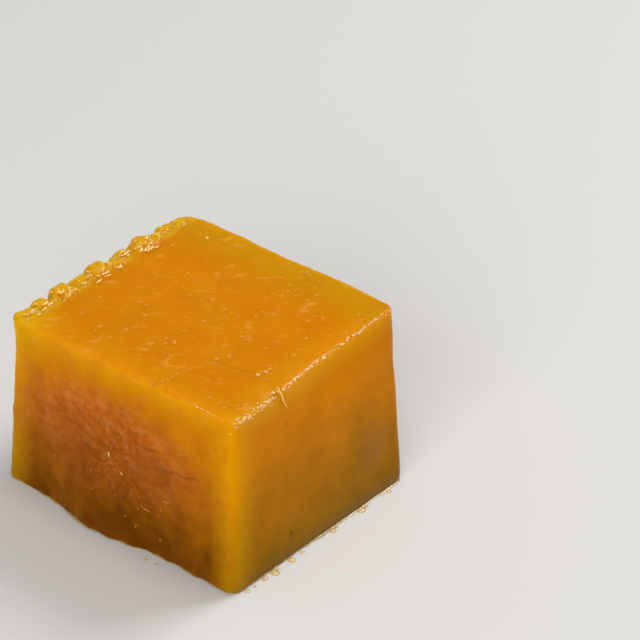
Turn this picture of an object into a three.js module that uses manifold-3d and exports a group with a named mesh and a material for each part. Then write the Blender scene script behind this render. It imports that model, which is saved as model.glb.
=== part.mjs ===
// A hand-cut block of sweet potato paste, in millimetres, +Z up, standing on its own flat foot.
// The front face looks along -Y and the knife-cut side along +X. The side along -X was torn
// off the slab, so its top rim is a row of crags. The origin is the middle of the foot's box.

import * as THREE from "three";
import { mergeVertices } from "three/addons/utils/BufferGeometryUtils.js";
import { ImprovedNoise } from "three/addons/math/ImprovedNoise.js";
import Module from "manifold-3d";

// Driving dimensions

// plan of the foot and of the top: [x, y] of each corner, before the corners are rounded
const FOOT = {
  frontLeft: [-28.2, -23.5],
  frontRight: [27.8, -23.3],
  backRight: [28.7, 23.7],
  backLeft: [-27.2, 25.2],
};
const TOP = {
  frontLeft: [-25.7, -21.4],
  frontRight: [27.2, -21.2],
  backRight: [26.6, 23.0],
  backLeft: [-24.6, 23.9],
};

// height of each top corner: the slab was poured a little thicker towards the back right
const HEIGHT = { frontLeft: 35.1, frontRight: 35.9, backRight: 37.8, backLeft: 36.8 };

// radius of each upright edge, at the foot and at the top
const UPRIGHT_RADIUS = {
  frontLeft: [1.4, 1.2],
  frontRight: [2.4, 1.8],
  backRight: [3.0, 1.4],
  backLeft: [3.4, 4.4],
};

const RIM_RADIUS = 0.8; // the cut top rim
const FOOT_RADIUS = 1.1; // the slumped foot rim
const SETTLE = 0.3; // how far the foot rim's roundness runs on below the foot, to be trimmed
const FLARE = 1.15; // above 1 the walls stand upright and run out only near the foot

// soft waves that the knife left in every face: height and length
const WAVE = { height: 0.32, length: 12 };

// finer torn relief: the front face pulled away roughly, the torn side more so
const TORN_FRONT = { height: 0.28, length: 4.2 };
const TORN_SIDE = { height: 0.8, length: 6.5 };

// the front face's foot bulges out where the paste has slumped
const SLUMP = { x: -4.5, reach: 16, height: 13, out: 2.1 };

// the knife dipped into the right-hand rim
const DIP = { y: 4, reach: 17, height: 9, out: -2.1 };

// crags along the torn rim: y of the middle, inset from the rim, half length, half width, rise
const CRAGS = [
  { y: -18.4, inset: 0.6, long: 1.5, wide: 1.2, rise: 0.5 },
  { y: -15.2, inset: 0.4, long: 1.9, wide: 1.9, rise: 1.2 },
  { y: -10.4, inset: 0.8, long: 2.9, wide: 2.6, rise: 1.6 },
  { y: -5.3, inset: 0.5, long: 1.7, wide: 1.5, rise: 0.8 },
  { y: -1.5, inset: 1.2, long: 2.5, wide: 2.6, rise: 1.6 },
  { y: 2.8, inset: 1.9, long: 2.1, wide: 1.7, rise: 0.9 },
  { y: 5.4, inset: 0.2, long: 1.7, wide: 1.5, rise: 1.1 },
  { y: 9.8, inset: 1.2, long: 3.3, wide: 3.0, rise: 1.5 },
  { y: 16.8, inset: 0.4, long: 1.8, wide: 1.4, rise: 0.8 },
  { y: 19.6, inset: 1.5, long: 1.3, wide: 1.1, rise: 0.4 },
];
const CRAG_STEEP = 5; // the higher, the steeper a crag's foot and the flatter its crown
const CRAG_UNEVEN = 0.45; // share of its size by which a crag's outline wanders
const CRAG_LENGTH = 1.9; // length of that wandering
const CRAG_HANG = 1.8; // on the torn side a crag hangs down this many times its half width

// the low ridge that the crags stand on, along the whole torn rim
const RIDGE = { rise: 0.35, wide: 3.2, length: 3.4 };

// the small nick that a grain left in the right-hand rim
const NICK = { y: -10.6, inset: 0.1, long: 0.9, wide: 0.7, deep: 0.6 };

// facets along x, y and z, and how far they are drawn together towards the edges, from 0 to 1
const GRID = { x: 26, y: 40, z: 17 };
const GATHER = { x: 0.72, y: 0.45, z: 0.72 };

const PASTE = { color: 0xcf7d04, roughness: 0.28, metalness: 0.0 };

const FACE_SHARPNESS = 9; // how soon past an edge the relief of the next face takes over
const LAYER_STEP = 5.3; // far enough along the noise for each layer of relief to be its own

const noise = new ImprovedNoise();
const CORNERS = ["frontLeft", "frontRight", "backRight", "backLeft"];

// Shape helpers

// u and v run from -1 to 1 across the block: each corner's share in a point of the plan
function shares(u, v) {
  return {
    frontLeft: (1 - u) * (1 - v) / 4,
    frontRight: (1 + u) * (1 - v) / 4,
    backRight: (1 + u) * (1 + v) / 4,
    backLeft: (1 - u) * (1 + v) / 4,
  };
}

// a value between those of the four corners
function mixed(valueOfCorner, share) {
  return CORNERS.reduce((sum, name) => sum + share[name] * valueOfCorner(name), 0);
}

// draws evenly spaced points together towards both ends of the range from -1 to 1
function gather(t, share) {
  return t + share * Math.sin(Math.PI * t) / Math.PI;
}

// smooth noise from -1 to 1 in bumps of a given length, another pattern for each layer
function wander(x, y, z, length, layer) {
  const step = LAYER_STEP * layer;
  return noise.noise(x / length + step, y / length, z / length - step);
}

// 1 at the middle of a bump and 0 from its reach outwards
function bump(distance, reach) {
  const t = Math.min(1, Math.abs(distance) / reach);
  return (1 - t * t) ** 2;
}

const PLAN_HALF = {
  x: (FOOT.frontRight[0] - FOOT.frontLeft[0]) / 2,
  y: (FOOT.backRight[1] - FOOT.frontRight[1]) / 2,
};

// the square plan with each corner turned into an arc; h runs from 0 at the foot to 1 at the top
function roundedPlan(u, v, h) {
  const side = v < 0 ? "front" : "back";
  const [atFoot, atTop] = UPRIGHT_RADIUS[side + (u < 0 ? "Left" : "Right")];
  const radius = THREE.MathUtils.lerp(atFoot, atTop, h);
  const arcU = radius / PLAN_HALF.x;
  const arcV = radius / PLAN_HALF.y;
  const overU = Math.max(0, (Math.abs(u) - (1 - arcU)) / arcU);
  const overV = Math.max(0, (Math.abs(v) - (1 - arcV)) / arcV);
  if (overU === 0 || overV === 0) {
    return [u, v];
  }
  const pull = Math.max(overU, overV) / Math.hypot(overU, overV);
  return [
    Math.sign(u) * (1 - arcU + arcU * overU * pull),
    Math.sign(v) * (1 - arcV + arcV * overV * pull),
  ];
}

// a rim arc: how far a point is drawn in from the wall and down from the face
function rimArc(inset, depth, radius) {
  if (inset >= radius || depth >= radius) {
    return [inset, depth];
  }
  const reach = Math.hypot(radius - inset, radius - depth);
  return [
    radius - radius * (radius - inset) / reach,
    radius - radius * (radius - depth) / reach,
  ];
}

// the straight top rim of the torn side, x and z at a given y
function tornRim(y) {
  const t = (y - TOP.frontLeft[1]) / (TOP.backLeft[1] - TOP.frontLeft[1]);
  return {
    x: THREE.MathUtils.lerp(TOP.frontLeft[0], TOP.backLeft[0], t),
    z: THREE.MathUtils.lerp(HEIGHT.frontLeft, HEIGHT.backLeft, t),
  };
}

// the low uneven ridge along the torn rim
function ridgeRise(p) {
  const uneven = 1 + wander(0, p.y, 0, RIDGE.length, 1);
  return RIDGE.rise * uneven * bump(p.x - tornRim(p.y).x, RIDGE.wide);
}

// how far the tallest crag stands out at a point, with a wandering outline and a steep foot
function cragRise(p) {
  const rim = tornRim(p.y);
  const uneven = 1 + CRAG_UNEVEN * wander(p.x, p.y, p.z, CRAG_LENGTH, 2);
  const heights = CRAGS.map((crag) => {
    const along = (p.y - crag.y) / crag.long;
    const across = (p.x - rim.x - crag.inset) / crag.wide;
    const down = (rim.z - p.z) / (crag.wide * CRAG_HANG);
    const distance = Math.hypot(along, across, Math.max(0, down)) * uneven;
    return crag.rise * Math.max(0, 1 - distance ** CRAG_STEEP);
  });
  return Math.max(...heights);
}

// relief in millimetres, outwards: facing is the way that the surface looks there
function relief(p, facing) {
  const wave = WAVE.height * wander(p.x, p.y, p.z, WAVE.length, 3);
  const front = Math.max(0, -facing.y);
  const torn = Math.max(0, -facing.x);
  const right = Math.max(0, facing.x);
  const upwards = Math.max(0, facing.z);
  const frontRelief = TORN_FRONT.height * wander(p.x, 0, p.z, TORN_FRONT.length, 4);
  const tornRelief = TORN_SIDE.height * wander(0, p.y, p.z, TORN_SIDE.length, 5);
  const slump = SLUMP.out * bump(p.x - SLUMP.x, SLUMP.reach) * bump(p.z, SLUMP.height);
  const dip = DIP.out * bump(p.y - DIP.y, DIP.reach) * bump(p.z - HEIGHT.frontRight, DIP.height);
  const rim = upwards * ridgeRise(p) + Math.max(upwards, torn) * cragRise(p);
  return wave + front * (frontRelief + slump) + torn * tornRelief + right * dip + rim;
}

// the body's surface, for a point (u, v, w) of the surface of a cube from -1 to 1
function bodyPoint(u, v, w) {
  const h = (w + 1) / 2;
  const flare = 1 - (1 - h) ** FLARE;
  const [ru, rv] = roundedPlan(u, v, h);
  const share = shares(ru, rv);
  const height = mixed((name) => HEIGHT[name], share);
  const plan = (axis) => (name) => THREE.MathUtils.lerp(FOOT[name][axis], TOP[name][axis], flare);
  const x = mixed(plan(0), share);
  const y = mixed(plan(1), share);
  const z = THREE.MathUtils.lerp(-SETTLE, height, h);

  const towardsMiddle = Math.max(Math.abs(u), Math.abs(v));
  const span = Math.hypot(x, y);
  const inset = (1 - towardsMiddle) * Math.min(PLAN_HALF.x, PLAN_HALF.y);
  const upper = w > 0;
  const radius = upper ? RIM_RADIUS : FOOT_RADIUS;
  const depth = upper ? height - z : z + SETTLE;
  const [newInset, newDepth] = rimArc(inset, depth, radius);
  const shrink = span > 0 ? 1 - (newInset - inset) / span : 1;
  const newZ = upper ? height - newDepth : newDepth - SETTLE;
  const p = new THREE.Vector3(x * shrink, y * shrink, newZ);

  const sharp = FACE_SHARPNESS;
  const facing = new THREE.Vector3(u ** sharp, v ** sharp, w ** sharp).normalize();
  const onFoot = w < 0 ? 1 - facing.z ** 2 : 1;
  return p.addScaledVector(facing, relief(p, facing) * onFoot);
}

// a closed geometry with its corners welded, each one moved to where place puts it
function reshaped(geometry, place) {
  geometry.deleteAttribute("normal");
  geometry.deleteAttribute("uv");
  const merged = mergeVertices(geometry);
  const at = merged.getAttribute("position");
  for (let i = 0; i < at.count; i += 1) {
    const p = place(at.getX(i), at.getY(i), at.getZ(i));
    at.setXYZ(i, p.x, p.y, p.z);
  }
  return merged;
}

function bodyGeometry() {
  const cube = new THREE.BoxGeometry(2, 2, 2, GRID.x, GRID.y, GRID.z);
  return reshaped(cube, (x, y, z) => bodyPoint(
    gather(x, GATHER.x),
    gather(y, GATHER.y),
    gather(z, GATHER.z),
  ));
}

// a small faceted pebble shape on the right-hand rim, to be cut away
function nickGeometry() {
  const t = (NICK.y - TOP.frontRight[1]) / (TOP.backRight[1] - TOP.frontRight[1]);
  const x = THREE.MathUtils.lerp(TOP.frontRight[0], TOP.backRight[0], t) - NICK.inset;
  const z = THREE.MathUtils.lerp(HEIGHT.frontRight, HEIGHT.backRight, t);
  return reshaped(new THREE.IcosahedronGeometry(1, 1), (ix, iy, iz) => new THREE.Vector3(
    x + NICK.wide * ix,
    NICK.y + NICK.long * iy,
    z + NICK.deep * iz,
  ));
}

// what is trimmed away below the level of the foot
function trimGeometry() {
  const wide = 4 * PLAN_HALF.x;
  const deep = 10 * SETTLE;
  const slab = new THREE.BoxGeometry(wide, wide, deep);
  slab.translate(0, 0, -deep / 2);
  return reshaped(slab, (x, y, z) => new THREE.Vector3(x, y, z));
}

// Joining and cutting

const wasm = await Module();
wasm.setup();

function toSolid(geometry) {
  return new wasm.Manifold(new wasm.Mesh({
    numProp: 3,
    vertProperties: new Float32Array(geometry.getAttribute("position").array),
    triVerts: new Uint32Array(geometry.getIndex().array),
  }));
}

function toGeometry(solid) {
  const mesh = solid.getMesh();
  const geometry = new THREE.BufferGeometry();
  geometry.setAttribute("position", new THREE.BufferAttribute(new Float32Array(mesh.vertProperties), 3));
  geometry.setIndex(new THREE.BufferAttribute(new Uint32Array(mesh.triVerts), 1));
  return geometry;
}

function pasteBlock() {
  const body = toSolid(bodyGeometry());
  const cut = body.subtract(toSolid(nickGeometry())).subtract(toSolid(trimGeometry()));
  const geometry = toGeometry(cut);
  geometry.computeBoundingBox();
  const middle = geometry.boundingBox.getCenter(new THREE.Vector3());
  geometry.translate(-middle.x, -middle.y, 0);
  geometry.computeVertexNormals();
  return geometry;
}

// The object

const model = new THREE.Group();
const block = new THREE.Mesh(pasteBlock(), new THREE.MeshStandardMaterial(PASTE));
block.name = "paste_block";
model.add(block);

export default model;
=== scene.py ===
# %% [markdown]
# A block of sweet potato paste, cut by hand from a slab. The imported model holds its true size and place.
# This lesson builds the surface that one sees: soft knife-cut faces, a torn rim, fibres and a wet shine.
# The frame is loaded first, and its box is kept.

import math
import random

import bmesh
import bpy
import numpy as np
from mathutils import Matrix, Vector, noise


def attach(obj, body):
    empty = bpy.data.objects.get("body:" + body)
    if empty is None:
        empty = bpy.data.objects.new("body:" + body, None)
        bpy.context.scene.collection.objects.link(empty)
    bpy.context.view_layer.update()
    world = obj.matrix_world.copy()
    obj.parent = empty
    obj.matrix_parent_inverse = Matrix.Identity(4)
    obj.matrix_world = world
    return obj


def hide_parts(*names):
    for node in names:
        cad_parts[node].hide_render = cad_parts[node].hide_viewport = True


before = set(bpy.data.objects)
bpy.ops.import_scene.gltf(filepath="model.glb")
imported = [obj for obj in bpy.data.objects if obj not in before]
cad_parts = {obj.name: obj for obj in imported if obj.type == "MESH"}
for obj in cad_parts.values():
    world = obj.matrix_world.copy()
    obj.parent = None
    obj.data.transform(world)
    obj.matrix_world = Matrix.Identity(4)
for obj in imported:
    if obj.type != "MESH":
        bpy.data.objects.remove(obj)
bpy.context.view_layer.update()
MM = 0.001

# %% [markdown]
# The block is a leaning box, so it is described by its four upright corners. Each has a place at the foot,
# a place at the top, a height and the radius of its rounded edge. The middle of the finished block's box
# is the origin, so it is taken off every corner.

# %% Sizes of the block, in millimetres
MIDDLE = (0.177, 0.038)
CORNERS = {
    "front left": {"foot": (-28.2, -23.5), "top": (-25.7, -21.4), "height": 35.1, "radius": 1.3},
    "front right": {"foot": (27.8, -23.3), "top": (27.2, -21.2), "height": 35.9, "radius": 2.1},
    "back right": {"foot": (28.7, 23.7), "top": (26.6, 23.0), "height": 37.8, "radius": 2.2},
    "back left": {"foot": (-27.2, 25.2), "top": (-24.6, 23.9), "height": 36.8, "radius": 3.9},
}
SETTLE = 0.3  # how far the rounded foot rim runs on below the foot, before it is cut flat
RIM_RADIUS = 0.8
FOOT_RADIUS = 1.1


def foot_corner(name):
    x, y = CORNERS[name]["foot"]
    return Vector((x - MIDDLE[0], y - MIDDLE[1], -SETTLE)) * MM


def top_corner(name):
    x, y = CORNERS[name]["top"]
    return Vector((x - MIDDLE[0], y - MIDDLE[1], CORNERS[name]["height"])) * MM


for name in CORNERS:
    print(name, "leans by", round((top_corner(name) - foot_corner(name)).xy.length / MM, 1), "mm")

# %% [markdown]
# Operators act on all that is selected, and the frame's node is still selected after loading. These
# helpers do what a hand does with the mouse: make one piece the only selected one, pick some of its
# corners, edges or faces by a rule about where they are, and press Apply on its modifiers.


# %% Helpers for picking
def alone(piece):
    """Makes piece the only selected object, and the active one."""
    bpy.ops.object.select_all(action="DESELECT")
    piece.select_set(True)
    bpy.context.view_layer.objects.active = piece


def edit(piece):
    """Opens a piece in edit mode."""
    alone(piece)
    bpy.ops.object.mode_set(mode="EDIT")


def pick(piece, kind, rule):
    """In edit mode, selects the VERT, EDGE or FACE parts for which rule is true, and counts them."""
    bpy.ops.mesh.select_mode(type=kind)
    bpy.ops.mesh.select_all(action="DESELECT")
    mesh = bmesh.from_edit_mesh(piece.data)
    parts = {"VERT": mesh.verts, "EDGE": mesh.edges, "FACE": mesh.faces}[kind]
    chosen = [part for part in parts if rule(part)]
    for part in chosen:
        part.select_set(True)
    mesh.select_flush_mode()
    bmesh.update_edit_mesh(piece.data)
    return len(chosen)


def apply_all(piece):
    """Applies every modifier of a piece, from the top one down."""
    alone(piece)
    for modifier in list(piece.modifiers):
        bpy.ops.object.modifier_apply(modifier=modifier.name)


# %% [markdown]
# The blank starts as a cube. Each of its eight corners is picked and moved to where the knife left it.
# A cube gives four flat walls to lean, which a modelled outline would have to be lofted for.

# %% The blank
CUBE = 50 * MM
bpy.ops.object.select_all(action="DESELECT")
bpy.ops.mesh.primitive_cube_add(size=CUBE, location=(0, 0, CUBE / 2))
block = bpy.context.object
block.name = "block_of_paste"
bpy.ops.object.transform_apply(location=True, rotation=True, scale=True)

edit(block)
for name in CORNERS:
    side_y, side_x = name.split()
    sign_x = 1 if side_x == "right" else -1
    sign_y = 1 if side_y == "back" else -1
    for level, goal in ((0, foot_corner(name)), (CUBE, top_corner(name))):
        start = Vector((sign_x * CUBE / 2, sign_y * CUBE / 2, level))
        pick(block, "VERT", lambda corner: (corner.co - start).length < MM)
        bpy.ops.transform.translate(value=goal - start)
bpy.ops.object.mode_set(mode="OBJECT")
print("blank:", len(block.data.vertices), "corners,", [round(side / MM, 1) for side in block.dimensions])

# %% [markdown]
# A cut block of soft paste has no sharp edge. The four upright edges are bevelled first, each with its own
# radius, and then the rims, because a bevel run round a loop follows the rounded corners that it meets.
# Last the blank is cut off flat at the level that it stands on.

# %% Rounded edges and the flat foot
EDGE_STEPS = 6
edit(block)
for name, corner in CORNERS.items():
    middle = (foot_corner(name) + top_corner(name)) / 2
    pick(block, "EDGE", lambda edge: ((edge.verts[0].co + edge.verts[1].co) / 2 - middle).length < MM)
    bpy.ops.mesh.bevel(offset=corner["radius"] * MM, segments=EDGE_STEPS, affect="EDGES")

for facing, radius in ((1, RIM_RADIUS), (-1, FOOT_RADIUS)):
    pick(block, "FACE", lambda face: face.normal.z * facing > 0.9)
    bpy.ops.mesh.region_to_loop()
    bpy.ops.mesh.bevel(offset=radius * MM, segments=EDGE_STEPS, affect="EDGES")

bpy.ops.mesh.select_all(action="SELECT")
bpy.ops.mesh.bisect(plane_co=(0, 0, 0), plane_no=(0, 0, 1), clear_inner=True, use_fill=True)
bpy.ops.object.mode_set(mode="OBJECT")
print("rounded blank:", len(block.data.polygons), "faces")

# %% [markdown]
# From here on the block is treated as clay. A voxel Remesh lays an even net of small quads over it, so that
# dents, crags and fibres can go anywhere. A light Smooth takes away the steps that the voxels leave.

# %% An even net for sculpting
NET = 0.36  # width of one quad
clay = block.modifiers.new("clay", "REMESH")
clay.mode = "VOXEL"
clay.voxel_size = NET * MM
ease = block.modifiers.new("ease", "SMOOTH")
ease.factor = 0.5
ease.iterations = 3
apply_all(block)
print("sculpting net:", len(block.data.polygons), "quads")

# %% [markdown]
# The foot of the front face has slumped outwards. That is one broad soft move, so it is made with
# proportional editing: a few corners at the foot are picked and pulled, and the net around them follows,
# less and less with distance.

# %% The slump at the foot
SLUMP = {"x": -4.5, "out": 2.1, "reach": 15}


def at_slump(corner):
    """A few corners just above the rim of the foot, where the slump bulges most."""
    x, y, z = corner.co / MM
    return abs(x - SLUMP["x"]) < 0.5 and y < -20 and 0.8 < z < 1.5


edit(block)
count = pick(block, "VERT", at_slump)
bpy.ops.transform.translate(
    value=(0, -SLUMP["out"] * MM, 0),
    use_proportional_edit=True,
    proportional_edit_falloff="SMOOTH",
    proportional_size=SLUMP["reach"] * MM,
)
bpy.ops.object.mode_set(mode="OBJECT")
print("slump:", count, "corners pulled")

# %% [markdown]
# Finer relief is pushed through a mask, as with a sculpting brush. A rule paints the mask as a vertex
# group, from the place and the facing of each corner. A Displace modifier then moves the net along its
# normals by as much as the mask says, evenly or through a texture. All the steps below use these helpers.


# %% Helpers for sculpting through masks
def corners_of(piece):
    """Places in millimetres and facings of all corners, as two arrays of rows."""
    count = len(piece.data.vertices)
    place = np.empty(count * 3, np.float32)
    facing = np.empty(count * 3, np.float32)
    piece.data.vertices.foreach_get("co", place)
    piece.data.vertices.foreach_get("normal", facing)
    return place.reshape(-1, 3) / MM, facing.reshape(-1, 3)


def ease_in(low, high, value):
    """0 up to low, 1 from high on, and a soft step between them."""
    t = np.clip((value - low) / (high - low), 0, 1)
    return t * t * (3 - 2 * t)


def mask(piece, name, rule):
    """Paints a vertex group: rule gives each corner a weight from 0 to 1."""
    weights = np.clip(rule(*corners_of(piece)), 0, 1)
    group = piece.vertex_groups.new(name=name)
    for index in np.flatnonzero(weights > 0.002):
        group.add([int(index)], float(weights[index]), "REPLACE")
    return group.name


def cloud(size, depth=1):
    """A soft cloud texture with lumps of a given size in millimetres."""
    texture = bpy.data.textures.new("cloud", "CLOUDS")
    texture.noise_scale = size * MM
    texture.noise_depth = depth
    return texture


def push(piece, group, out, texture=None, guide=None, way="NORMAL"):
    """Moves the masked net outwards, or to and fro by half of out where a texture is given."""
    mover = piece.modifiers.new("push", "DISPLACE")
    mover.strength = out * MM
    mover.mid_level = 0.5 if texture else 0.0
    mover.direction = way
    mover.vertex_group = group
    if texture:
        mover.texture = texture
        mover.texture_coords = "OBJECT" if guide else "LOCAL"
    if guide:
        mover.texture_coords_object = guide
    apply_all(piece)


# %% [markdown]
# The knife dipped into the right-hand rim and pressed it down a little. The dip is longer along the rim
# than it is wide, so it is painted as a mask and pushed twice, in along X and down along Z.

# %% The dip in the right-hand rim
DIP = {"y": 4.0, "long": 17, "rim_x": 26.6, "rim_z": 36.9, "wide": 12, "deep": 11, "in": 1.3, "down": 0.9}


def bump(distance, reach):
    """1 in the middle of a bump and 0 from its reach outwards."""
    t = np.clip(np.abs(distance) / reach, 0, 1)
    return (1 - t * t) ** 2


def dip(place, facing):
    """1 in the middle of the dip, and less and less along the rim, inwards and downwards."""
    x, y, z = place.T
    inwards = np.maximum(0, DIP["rim_x"] - x) / DIP["wide"]
    down = np.maximum(0, DIP["rim_z"] - z) / DIP["deep"]
    return bump(y - DIP["y"], DIP["long"]) * bump(np.hypot(inwards, down), 1)


dip_mask = mask(block, "dip", dip)
push(block, dip_mask, -DIP["in"], way="X")
push(block, dip_mask, -DIP["down"], way="Z")
print("dip:", DIP["in"], "mm in,", DIP["down"], "mm down and", 2 * DIP["long"], "mm long")

# %% [markdown]
# Each face has its own history. All of them carry the long soft waves of a knife drawn by hand. The front
# face pulled away and is rough, and the side along -X was torn off the slab, so it is lumpy.

# %% Waves and torn faces
WAVE = {"height": 0.32, "length": 12}
TORN_FRONT = {"height": 0.28, "length": 4.2}
TORN_SIDE = {"height": 0.8, "length": 6.5}
TORN_WALL = {"foot_x": -28.3, "lean": 2.5 / 36}  # x of the torn wall at the foot, and its lean inwards


def front_face(place, facing):
    return ease_in(0.35, 0.9, -facing[:, 1])


def torn_face(place, facing):
    return ease_in(0.35, 0.9, -facing[:, 0]) * ease_in(-22, -17, place[:, 1])


def knife_drawn(place, facing):
    """All walls but the torn one, whose front edge is straight, and not the foot."""
    from_torn_side = place[:, 0] - TORN_WALL["foot_x"] - TORN_WALL["lean"] * place[:, 2]
    return ease_in(0.0, 2.0, place[:, 2]) * ease_in(0.5, 7.0, from_torn_side)


push(block, mask(block, "knife-drawn", knife_drawn), 2 * WAVE["height"], cloud(WAVE["length"]))
push(block, mask(block, "front", front_face), 2 * TORN_FRONT["height"], cloud(TORN_FRONT["length"], 2))
push(block, mask(block, "torn side", torn_face), 2 * TORN_SIDE["height"], cloud(TORN_SIDE["length"], 2))
print("after the waves:", [round(side / MM, 1) for side in block.dimensions])

# %% [markdown]
# Along the torn rim the paste broke away in crags: lumps with slanting faces, 2 to 6 mm long, grown
# together. Half spheres would look like pebbles, so each crag gets a tilted crown and three random facets.
# The ten largest have places of their own, and chance scatters small ones between them.

# %% Places and sizes of the crags, in millimetres
CRAGS = [
    {"y": -18.4, "inset": 0.6, "long": 1.5, "wide": 1.2, "rise": 0.5},
    {"y": -15.2, "inset": 0.4, "long": 1.9, "wide": 1.9, "rise": 0.9},
    {"y": -10.4, "inset": 0.8, "long": 2.9, "wide": 2.6, "rise": 1.2},
    {"y": -5.3, "inset": 0.5, "long": 1.7, "wide": 1.5, "rise": 0.6},
    {"y": -1.5, "inset": 1.2, "long": 2.5, "wide": 2.6, "rise": 1.2},
    {"y": 2.8, "inset": 1.9, "long": 2.1, "wide": 1.7, "rise": 0.7},
    {"y": 5.4, "inset": 0.2, "long": 1.7, "wide": 1.5, "rise": 0.8},
    {"y": 9.8, "inset": 1.2, "long": 3.3, "wide": 3.0, "rise": 1.2},
    {"y": 16.8, "inset": 0.4, "long": 1.8, "wide": 1.4, "rise": 0.5},
    {"y": 19.6, "inset": 1.5, "long": 1.3, "wide": 1.1, "rise": 0.4},
]
SMALL_CRAGS = 26
CRAG_FOOT = 1.9  # slope of a crag's sides, in rises for each half width
CRAG_UNEVEN = 0.3  # share of its size by which its outline wanders
CRAG_LENGTH = 1.6  # length of that wandering
CRAG_HANG = 1.8  # how far it hangs down the torn side, in half widths
RIM_ZONE = 7.0  # nothing of a crag is further than this from the rim

draw = random.Random(11)
for number in range(SMALL_CRAGS):
    CRAGS.append({
        "y": draw.uniform(-20, 21),
        "inset": draw.uniform(-0.4, 2.4),
        "long": draw.uniform(0.6, 1.3),
        "wide": draw.uniform(0.5, 1.1),
        "rise": draw.uniform(0.3, 0.7),
    })
for crag in CRAGS:
    crag["tilt"] = (draw.uniform(-0.35, 0.35), draw.uniform(-0.45, 0.2))
    crag["facets"] = [draw.uniform(0, 2 * math.pi) for number in range(3)]
TALLEST = max(crag["rise"] for crag in CRAGS)
print(len(CRAGS), "crags, the tallest", TALLEST, "mm")

# %% [markdown]
# A crag is the space under a few slanting planes, so its height at a point is the lowest of those planes.
# Noise makes its outline wander. One mask holds all the crags, the tallest winning where two meet, and a
# second mask holds the low uneven ridge that they stand on. Both rules are slow, so they run only for the
# corners near the rim.


# %% The mask of the crags
def torn_rim(y):
    """The straight torn rim: x and z at a given y."""
    front = top_corner("front left") / MM
    back = top_corner("back left") / MM
    t = (y - front.y) / (back.y - front.y)
    return front.x + t * (back.x - front.x), front.z + t * (back.z - front.z)


def wander(place, length, seed):
    """Smooth noise from -1 to 1, with bumps of a given length in millimetres."""
    shift = Vector((seed, 2 * seed, -seed))
    return np.array([noise.noise(Vector(row) / length + shift) for row in place.tolist()])


def crag_heights(place):
    """The height of each crag above the plain rim at each corner, as a share of the tallest."""
    rim_x, rim_z = torn_rim(place[:, 1])
    shift_a = CRAG_UNEVEN * wander(place, CRAG_LENGTH, 3.7)
    shift_b = CRAG_UNEVEN * wander(place, CRAG_LENGTH, 9.1)
    rows = []
    for crag in CRAGS:
        along = (place[:, 1] - crag["y"] + MIDDLE[1]) / crag["long"] + shift_a
        across = (place[:, 0] - rim_x - crag["inset"]) / crag["wide"] + shift_b
        down = np.maximum(0, rim_z - place[:, 2]) / (crag["wide"] * CRAG_HANG)
        crown = 1 + crag["tilt"][0] * along + crag["tilt"][1] * across
        planes = [crown] + [CRAG_FOOT * (1 - way) for way in (along, -along, across, -across, down)]
        for turn in crag["facets"]:
            planes.append(CRAG_FOOT * (0.95 - along * math.cos(turn) - across * math.sin(turn)))
        rows.append(crag["rise"] / TALLEST * np.clip(np.min(planes, axis=0), 0, 1.3))
    return np.array(rows)


def only_near_rim(values_of):
    """Runs a slow rule for the corners near the torn rim alone, and gives 0 elsewhere."""
    def rule(place, facing):
        rim_x, rim_z = torn_rim(place[:, 1])
        near = np.hypot(place[:, 0] - rim_x, place[:, 2] - rim_z) < RIM_ZONE
        weights = np.zeros(len(place))
        weights[near] = values_of(place[near])
        return weights
    return rule


def crag_rise(place):
    return crag_heights(place).max(axis=0)


# %% The mask of the ridge
RIDGE = {"rise": 0.35, "wide": 3.2, "length": 3.4, "hang": 6.0}


def ridge_rise(place):
    """The low uneven ridge under the crags, as a share of its rise."""
    rim_x, rim_z = torn_rim(place[:, 1])
    along_rim = place * np.array([0, 1, 0])
    uneven = 1 + wander(along_rim, RIDGE["length"], 1.3)
    beside = bump(place[:, 0] - rim_x, RIDGE["wide"])
    return 0.5 * uneven * beside * bump(np.maximum(0, rim_z - place[:, 2]), RIDGE["hang"])


# %% [markdown]
# The ridge is raised first and the crags on top of it. A fine cloud texture then breaks their faces up.

# %% Raising the crags
CRAG_CRUMBLE = {"height": 0.25, "length": 0.9}
push(block, mask(block, "ridge", only_near_rim(ridge_rise)), 2 * RIDGE["rise"])
crags = mask(block, "crags", only_near_rim(crag_rise))
push(block, crags, TALLEST)
push(block, crags, 2 * CRAG_CRUMBLE["height"], cloud(CRAG_CRUMBLE["length"], 2))
print("after the crags:", [round(side / MM, 1) for side in block.dimensions])

# %% [markdown]
# The front face tore from a hard grain a little below its middle, and the tearing ran out from there as
# frost does on glass. Its creases follow noise that is read on a circle round the grain and along the
# doublings of the distance from it, so they point away from the grain, grow coarser outwards and have no
# seam. Lines drawn one by one would look like a star, so only three long creases are drawn that way.

# %% Sizes of the tearing, in millimetres
GRAIN = (-0.2, 16.0)  # x and z of the hard grain
GRAIN_SIZE = 1.4
SPOKES = 3.2  # noise cells for each radian round the grain
STEPS = 1.7  # noise cells for each doubling of the distance
TEAR_REACH = 19
CREASE_WIDTH = 0.26
CREASE_DEPTH = 0.26
PLATE_RISE = 0.5
LONG_CREASES = [((-10.0, 23.5), (-1.9, 16.9)), ((4.6, 22.0), (9.4, 22.1)), ((8.5, 18.7), (18.8, 20.6))]
LONG_WIDTH = 0.55
LONG_BEND = {"by": 0.5, "length": 2.5}
FINE_TEAR = {"front": 0.12, "torn side": 0.144}  # height of the finest tearing, for each torn face
FINE_LENGTH = 1.0
print("grain", GRAIN[1], "mm above the foot, tearing", TEAR_REACH, "mm out from it")


# %% Helpers for the tearing
def round_the_grain(place):
    """The way from the grain as a place on a circle, and the distance from it in doublings."""
    x = place[:, 0] - GRAIN[0]
    z = place[:, 2] - GRAIN[1]
    far = np.hypot(x, z) + GRAIN_SIZE
    return np.column_stack([SPOKES * x / far, SPOKES * z / far, STEPS * np.log2(far)])


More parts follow.
